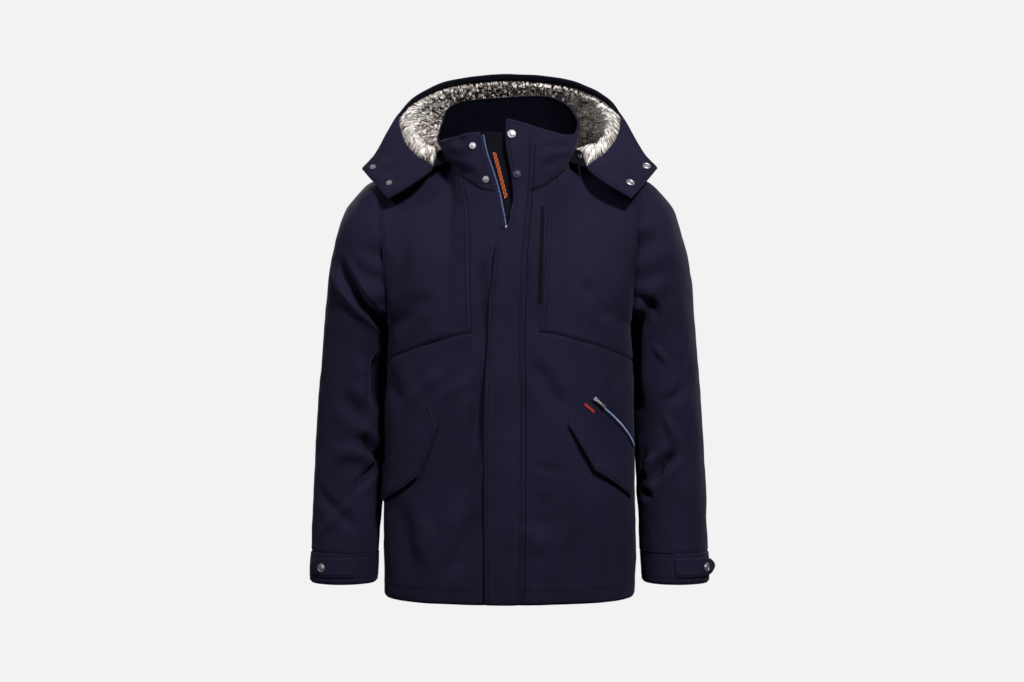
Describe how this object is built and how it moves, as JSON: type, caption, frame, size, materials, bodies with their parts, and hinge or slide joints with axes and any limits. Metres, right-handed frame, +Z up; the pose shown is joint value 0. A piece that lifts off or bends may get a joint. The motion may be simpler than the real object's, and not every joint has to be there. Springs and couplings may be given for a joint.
{
  "type": "fur trimmed parka",
  "caption": "Hooded winter parka filled out as worn, with a fur lined hood thrown back, a storm flap over its zip, flapped hand pockets and buttoned cuffs.",
  "frame": {"origin": "The middle of the neck, level with the two points where the collar meets the shoulder seams", "axes": "+Z up, -Y forwards out of the chest, +X to the wearer's left"},
  "size_m": [0.6936, 0.3875, 0.9123],
  "materials": {
    "navy_cloth": "woven nylon shell, very dark navy, matt with a faint sheen",
    "navy_dark": "dark navy twill of the hood's edge band, the zip guard and the covered pocket opening",
    "fur": "long faux fur, grey brown with pale ends and dark tips",
    "steel": "satin press studs, sliders and pulls",
    "teeth": "pale blue moulded zip teeth",
    "tape": "woven zip tape, dark blue",
    "tab_red": "plain folded red tab",
    "snap_dark": "press stud cap in the cloth's own colour"
  },
  "bodies": {
    "coat": {"back_panel": "navy_cloth", "chest_left": "navy_cloth", "chest_right": "navy_cloth", "chest_welt": "navy_dark", "collar": "navy_cloth", "collar_stud_low": "steel", "collar_stud_top": "steel", "cuff_left": "navy_cloth", "cuff_right": "navy_cloth", "cuff_snap_left": "steel", "cuff_snap_right": "steel", "cuff_tab_left": "navy_cloth", "cuff_tab_right": "navy_cloth", "flap_snap_low": "snap_dark", "flap_snap_top": "steel", "front_left": "navy_cloth", "front_right": "navy_cloth", "hood_facing_left": "navy_cloth", "hood_facing_right": "navy_cloth", "hood_fur": "fur", "hood_rim": "navy_dark", "hood_shell": "navy_cloth", "hood_socket_left_neck": "steel", "hood_socket_left_rim": "steel", "hood_stud_right_neck": "steel", "hood_stud_right_rim": "steel", "hood_zip_end": "steel", "hood_zip_tape": "tape", "pocket_flap_left": "navy_cloth", "pocket_flap_right": "navy_cloth", "pocket_label": "tab_red", "pocket_slider": "steel", "pocket_zip_tape": "tape", "pocket_zip_teeth": "teeth", "sleeve_left": "navy_cloth", "sleeve_right": "navy_cloth", "storm_flap": "navy_cloth", "zip_guard": "navy_dark", "zip_slider": "steel", "zip_tape_left": "tape", "zip_tape_right": "tape", "zip_teeth_left": "teeth", "zip_teeth_right": "teeth"},
    "pocket_pull_body": {"pocket_pull": "steel"},
    "zip_pull_body": {"zip_pull": "steel"}
  },
  "joints": [
    {"name": "pocket_pull_hinge", "type": "hinge", "parent": "coat", "child": "pocket_pull_body", "pos_m": [0.14452, -0.12276, -0.41425], "axis": [-0.5625, -0.2706, -0.7813], "range_deg": [0, 150]},
    {"name": "zip_pull_hinge", "type": "hinge", "parent": "coat", "child": "zip_pull_body", "pos_m": [-0.0035, -0.12587, -0.13047], "axis": [-1, 0, 0], "range_deg": [0, 3]}
  ]
}
